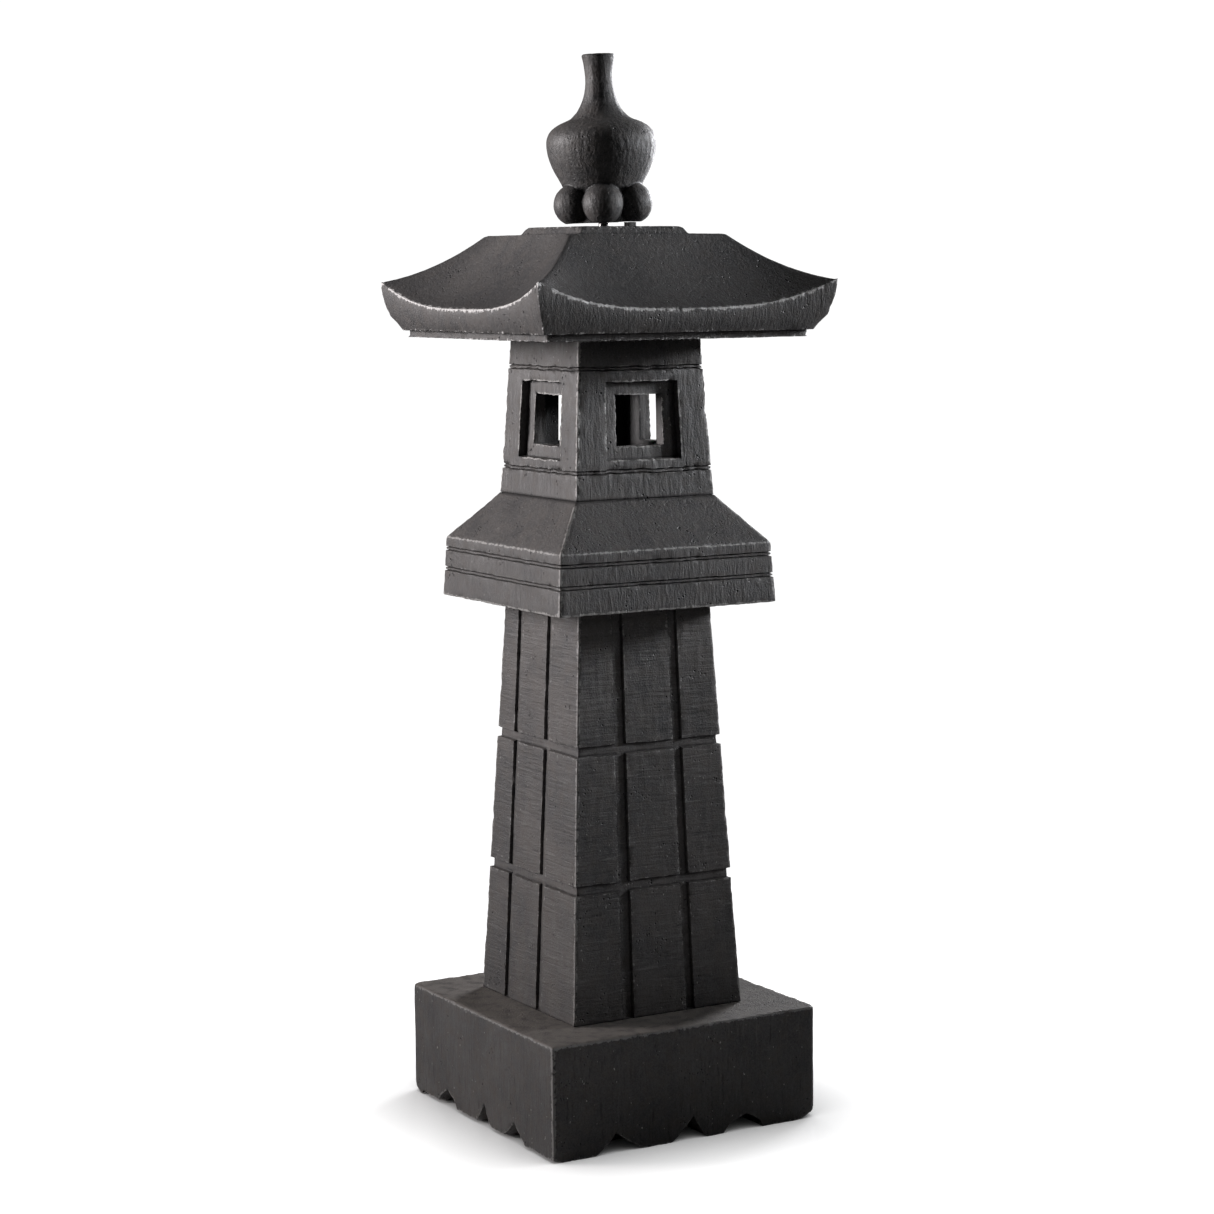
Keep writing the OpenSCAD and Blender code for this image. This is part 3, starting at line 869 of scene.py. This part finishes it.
def buildRoof():
    r = roofStone
    foot = fireboxTop
    flatHalf, flatZ = r["flat"]

    def slope(start, leave, arrive):
        # the curve up to the flat, from a start and by how far its two handles stand off
        handles = (start[0] - leave[0], start[1] + leave[1]), (flatHalf + arrive[0], flatZ - arrive[1])
        return [bez(start, *handles, r["flat"], t / r["slopeRows"]) for t in range(r["slopeRows"] + 1)]
    middle = slope(r["eave"], *r["eaveHandles"])
    corner = slope(r["tip"], *r["tipHandles"])
    profile = [(r["bossFoot"], r["bossHalf"]), (foot, r["bossHalf"])]
    drop = {}  # how far in and down the middle of a side lies from its corner, ring by ring
    for i in range(1, r["lipRings"] + 1):
        profile.append((foot + i * 1e-6, r["bossHalf"] + (r["lipHalf"] - r["bossHalf"]) * i / r["lipRings"]))
    profile += [(foot + 0.002, r["lipHalf"]), (foot + 0.0045, r["lipHalf"]), (r["lipTop"], r["lipHalf"])]
    profile += [(r["lipTop"] + 2e-5, r["lipHalf"] + 0.003), (r["lipTop"] + 4e-5, r["fasciaFoot"] - 0.0015)]
    profile += [(r["lipTop"] + 6e-5, r["fasciaFoot"])]
    base = r["lipTop"] + 6e-5
    for i in range(1, r["fasciaRows"] + 1):
        t = i / r["fasciaRows"]
        swell = r["bulge"] * math.sin(math.pi * t)
        half = r["fasciaFoot"] + (r["tip"][0] - r["fasciaFoot"]) * t + swell
        z = base + (r["tip"][1] - base) * t
        midHalf = r["fasciaFoot"] + (r["eave"][0] - r["fasciaFoot"]) * t + swell / 2
        midZ = base + (r["eave"][1] - base) * t
        profile.append((z, half))
        drop[z] = (half - midHalf, z - midZ)
    for (midHalf, midZ), (half, z) in zip(middle[1:], corner[1:]):
        profile.append((z, half))
        drop[z] = (half - midHalf, z - midZ)
    plateFoot, plateHead, plateTop = r["plate"]
    for i in range(1, r["flatRings"] + 1):
        profile.append((flatZ + i * 2e-5, flatHalf + (plateFoot - flatHalf) * i / r["flatRings"]))
    for t in (0.06, 0.3, 0.55, 0.78, 1.0):
        profile.append((flatZ + (plateTop - flatZ) * t, plateFoot + (plateHead - plateFoot) * t))
    profile.append((plateTop + 1e-6, plateHead - 0.004))
    stone = squareStone("roofStone", profile)

    def alongHip(edge):
        a, b = (v.co for v in edge.verts)
        return (abs(abs(a.x) - abs(a.y)) < 1e-6 and abs(abs(b.x) - abs(b.y)) < 1e-6
                and a.x * b.x > 0 and a.y * b.y > 0)
    pick(stone, "EDGE", lambda e: not alongHip(e))
    bpy.ops.mesh.subdivide(number_cuts=r["columns"])
    stopEditing()
    note("roof rings and columns")
    mostIn = max(v[0] for v in drop.values())
    mostDown = max(v[1] for v in drop.values())
    heights = sorted(drop)

    def share(v):
        i = bisect.bisect_left(heights, v.co.z - 5e-6)
        if i == len(heights) or abs(heights[i] - v.co.z) > 5e-6:
            return 0, 0, 0
        reach = max(abs(v.co.x), abs(v.co.y))
        s = min(abs(v.co.x), abs(v.co.y)) / reach
        return 1 - s ** 3, *drop[heights[i]]
    paintGroup(stone, "sag", lambda v: share(v)[0] * share(v)[2] / mostDown)

    # the hips are rubbed soft, and three of the corners are knocked round at their feet
    def hip(v):
        near, far = sorted((abs(v.co.x), abs(v.co.y)))
        return min(1, (near / far - 0.92) / 0.05) if v.co.z > r["tip"][1] + 0.0002 else 0
    paintGroup(stone, "hips", hip)

    def nip(v):
        x, y, z = v.co
        u = (max(abs(x), abs(y)) - min(abs(x), abs(y))) / r["nipReach"]
        if u > 1 or (x < 0 and y < 0) or z < foot + 0.0010:
            return 0
        return (1 - u) ** 2 * max(0, 1 - max(0, z - r["lipTop"]) / r["nipHeight"])
    paintGroup(stone, "nips", nip)
    spots = {side: [] for side in allSides}
    for v in stone.data.vertices:
        amount, inwards, _ = share(v)
        if inwards <= 0 or amount <= 0:
            continue
        axis = 0 if abs(v.co.x) > abs(v.co.y) else 1
        sign = 1 if v.co[axis] > 0 else -1
        spots[(axis, sign)].append((v.index, amount * inwards / mostIn))
    for (axis, sign), found in spots.items():
        group = stone.vertex_groups.new(name=f"waist{axis}{sign}")
        for index, weight in found:
            group.add([index], weight, "REPLACE")
    applyModifier(stone, "DISPLACE", strength=-mostDown, mid_level=0, direction="Z", vertex_group="sag")
    for axis, sign in spots:
        applyModifier(stone, "DISPLACE", strength=-sign * mostIn, mid_level=0, direction="XY"[axis],
                      vertex_group=f"waist{axis}{sign}")
    applyModifier(stone, "CAST", cast_type="CYLINDER", factor=0.4, size=r["nipRadius"], use_radius_as_size=False,
                  radius=0, use_z=False, vertex_group="nips")
    applyModifier(stone, "SMOOTH", factor=0.5, iterations=8, vertex_group="hips")
    note("roof curves")
    radius, deep = r["dowelHole"]
    drill(stone, radius, plateTop - deep, plateTop + 0.01)
    finishStone(stone, r["look"], "roof", "roof", bed=(foot,), **r["finish"])
    # the brim is worn bright, and the other edges much less
    arris = stone.data.attributes["arris"].data
    for v in stone.data.vertices:
        onBrim = r["eave"][1] - 0.006 < v.co.z < r["tip"][1] + 0.002
        onCorner = abs(abs(v.co.x) - abs(v.co.y)) < 0.005 and v.co.z < r["tip"][1] - 0.004
        if not onBrim or onCorner:
            arris[v.index].value *= r["quietWear"]


finialBud = {
    # radius and height above the finial's foot
    "waist": (0.0368, 0.033),
    "belly": (0.0512, 0.0735),
    "shoulder": (0.0308, 0.0950),
    "neck": (0.0128, 0.1322),
    "rim": (0.0158, 0.154),
    "top": 0.1555,
    "knobRing": 0.031,
    "knobRadius": 0.0193,
    "knobHeight": 0.0175,
    "coreRadius": 0.033,
    "knobs": 6,
    "facets": 40,
    "rings": 14,  # in each of the four curves of the outline
    "voxel": 0.0011,
    "lean": 1.8,
    "leanFoot": (0.017, -0.020),
    "dowelHole": (0.0052, 0.045),
    "finish": {"smooth": 60, "chips": 0.0004, "nicks": 0.0003, "waves": 0.0007, "sharp": 50, "crease": 10, "draw": 2},
    "look": {"upStrokes": 0.6, "dark": (0.030, 0.030, 0.032), "mid": (0.065, 0.063, 0.063), "wear": 0.5,
             "strokeDraw": 0.45},
}


def buildFinial():
    f = finialBud
    z0 = finialFoot
    waist, belly, shoulder, neck, rim = (f[name] for name in ("waist", "belly", "shoulder", "neck", "rim"))
    curves = ((waist, (waist[0] + 0.0025, waist[1] + 0.007), (belly[0], belly[1] - 0.018), belly),
              (belly, (belly[0], belly[1] + 0.0125), (shoulder[0] + 0.0115, shoulder[1] - 0.004), shoulder),
              (shoulder, (shoulder[0] - 0.0075, shoulder[1] + 0.003), (neck[0] + 0.0002, neck[1] - 0.0217), neck),
              (neck, (neck[0], neck[1] + 0.008), (rim[0] - 0.002, rim[1] - 0.0065), rim))
    outline = [(f["coreRadius"], 0.0), (f["coreRadius"], 0.012), (f["coreRadius"], 0.030)]
    for curve in curves:
        outline += [bez(*curve, t / f["rings"]) for t in range(0 if curve is curves[0] else 1, f["rings"] + 1)]
    outline.append((rim[0] - 0.0016, f["top"]))
    clearSelection()
    bpy.ops.mesh.primitive_circle_add(vertices=f["facets"], radius=outline[0][0], fill_type="NGON",
                                      location=(0, 0, z0))
    bud = bpy.context.object
    bud.name = "lotusBud"
    bpy.ops.object.transform_apply(location=True)
    startEditing(bud)
    pick(bud, "FACE", lambda face: True)
    for (r0, h0), (r1, h1) in zip(outline, outline[1:]):
        bpy.ops.mesh.extrude_region_move(TRANSFORM_OT_translate={"value": (0, 0, h1 - h0)})
        resizeTo(r1 / r0, z0 + h1)
    pick(bud, "FACE", lambda face: True)
    bpy.ops.mesh.normals_make_consistent(inside=False)
    stopEditing()
    knobs = []
    for i in range(f["knobs"]):
        a = math.radians(360 * i / f["knobs"])
        clearSelection()
        bpy.ops.mesh.primitive_uv_sphere_add(segments=40, ring_count=24, radius=f["knobRadius"],
                                             location=(f["knobRing"] * math.cos(a), f["knobRing"] * math.sin(a),
                                                       z0 + f["knobHeight"]))
        knobs.append(bpy.context.object)
    for knob in knobs:
        knob.select_set(True)
    bud.select_set(True)
    bpy.context.view_layer.objects.active = bud
    bpy.ops.object.join()
    applyModifier(bud, "REMESH", mode="VOXEL", voxel_size=f["voxel"])
    note("finial joined")
    # the knobs are cut to flat feet
    startEditing(bud)
    bpy.ops.mesh.select_all(action="SELECT")
    bpy.ops.mesh.bisect(plane_co=(0, 0, z0 + 0.0002), plane_no=(0, 0, -1), clear_outer=True)
    pick(bud, "EDGE", lambda e: e.is_boundary)
    bpy.ops.mesh.edge_face_add()
    bpy.ops.mesh.select_all(action="SELECT")
    bpy.ops.mesh.remove_doubles(threshold=0.00002)
    stopEditing()
    applyModifier(bud, "SMOOTH", factor=0.5, iterations=2)
    applyModifier(bud, "TRIANGULATE")
    # leans a little, as it rests on the chip at one side
    startEditing(bud)
    bpy.ops.mesh.select_all(action="SELECT")
    lookAlong = (-math.sin(turn), math.cos(turn), 0)
    bpy.ops.transform.rotate(value=math.radians(f["lean"]), orient_axis="Y",
                             orient_matrix=((lookAlong[1], -lookAlong[0], 0), lookAlong, (0, 0, 1)),
                             orient_type="GLOBAL", orient_matrix_type="GLOBAL",
                             center_override=(*f["leanFoot"], z0))
    stopEditing()
    radius, deep = f["dowelHole"]
    drill(bud, radius, z0 - 0.01, z0 + deep)
    finishStone(bud, f["look"], "finial", "finial", **f["finish"])


chipStone = {
    "edge": 0.0007,
    "cuts": 11,
    "finish": {"chips": 0.0003, "nicks": 0.0003, "waves": 0.0002, "tooling": 0.0001},
    "look": {"dark": (0.03, 0.03, 0.03), "mid": (0.05, 0.05, 0.05), "upStrokes": 0.2, "dustAndShade": 0.0, "wear": 0.1},
}


def buildChip():
    c = chipStone
    low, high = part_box("levelling_chip")
    chip = addBlock("levellingChip", low, high)
    startEditing(chip)
    softenEdges(chip, c["edge"], 2, hardEdge)
    bpy.ops.mesh.select_all(action="SELECT")
    bpy.ops.mesh.subdivide(number_cuts=c["cuts"])
    stopEditing()
    applyModifier(chip, "TRIANGULATE")
    finishStone(chip, c["look"], "roof", "levelling_chip", bed=(low.z, high.z), **c["finish"])


def dowelMaterial():
    # dull steel with rust creeping along it
    s = Shading("dullSteel")
    streaks = s.noise(900, 3, 0.6, s.scaled(1, 1, 0.04))
    rust = s.spread(s.noise(160, 4, 0.65), 0.48, 0.66)
    colour = s.blend(rust, (0.42, 0.41, 0.40), (0.14, 0.055, 0.025))
    rough = s.sum("ADD", s.spread(streaks, 0.3, 0.7, 0.28, 0.45), s.sum("MULTIPLY", rust, 0.4), clamp=True)
    relief = s.bump(rust, 0.4, 0.0003, s.bump(streaks, 0.3, 0.0002))
    s.put(s.shader, **{"Base Color": colour, "Roughness": rough, "Normal": relief,
                       "Metallic": s.spread(rust, 0.0, 1.0, 1.0, 0.1)})
    return s.material


def cupMaterial():
    # thin pressed aluminium, slightly creased and smoked
    s = Shading("cupAluminium")
    creases = s.noise(140, 2, 0.5)
    drawn = s.noise(1500, 2, 0.6, s.scaled(1, 1, 0.05))
    colour = s.blend(s.spread(creases, 0.35, 0.7), (0.86, 0.86, 0.87), (0.70, 0.69, 0.68))
    rough = s.spread(s.sum("ADD", drawn, creases), 0.6, 1.4, 0.16, 0.34)
    relief = s.bump(creases, 0.35, 0.0006, s.bump(drawn, 0.2, 0.0001))
    s.put(s.shader, **{"Base Color": colour, "Roughness": rough, "Normal": relief, "Metallic": 1.0})
    return s.material


def waxMaterial():
    # cloudy wax with frosting and small pits on top
    s = Shading("candleWax")
    clouds = s.noise(120, 4, 0.6)
    frost = s.spread(s.cells(700), 0.0, 0.6)
    colour = s.blend(s.spread(clouds, 0.35, 0.7), (0.93, 0.90, 0.82), (0.88, 0.83, 0.72))
    rough = s.spread(s.sum("ADD", clouds, s.sum("MULTIPLY", frost, 0.3)), 0.4, 1.0, 0.34, 0.56)
    relief = s.bump(frost, 0.25, 0.0002, s.bump(clouds, 0.4, 0.0008))
    s.put(s.shader, **{"Base Color": colour, "Roughness": rough, "Normal": relief, "Subsurface Weight": 0.35,
                       "Subsurface Scale": 0.003})
    return s.material


def wickMaterial():
    # waxed cotton, braided
    s = Shading("cottonWick")
    braid = s.put(s.add("ShaderNodeTexWave", bands_direction="DIAGONAL"), Vector=s.scaled(1, 1, 0.6), Scale=900,
                  Distortion=2.0, Detail=2.0).outputs["Fac"]
    fibres = s.noise(2600, 2, 0.6)
    colour = s.blend(braid, (0.62, 0.58, 0.50), (0.90, 0.88, 0.82))
    rough = s.spread(fibres, 0.3, 0.7, 0.6, 0.85)
    relief = s.bump(fibres, 0.3, 0.0001, s.bump(braid, 0.7, 0.0003))
    s.put(s.shader, **{"Base Color": colour, "Roughness": rough, "Normal": relief})
    return s.material


def repaintSmallNodes():
    # these keep their shape from the model, and only get their finish here
    steel = dowelMaterial()
    for node, material in (("finial_dowel", steel), ("wick_tab", steel), ("candle_cup", cupMaterial()),
                           ("candle_wax", waxMaterial()), ("candle_wick", wickMaterial())):
        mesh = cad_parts[node]
        for place in range(len(mesh.material_slots)):
            mesh.material_slots[place].material = material
    note("small nodes repainted")


buildStudio()
note("studio ready")
buildBase()
buildPost()
buildPlatform()
buildFirebox()
buildRoof()
buildFinial()
buildChip()
repaintSmallNodes()

for empty in stretched.values():
    bpy.data.objects.remove(empty)

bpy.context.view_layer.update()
note("done")
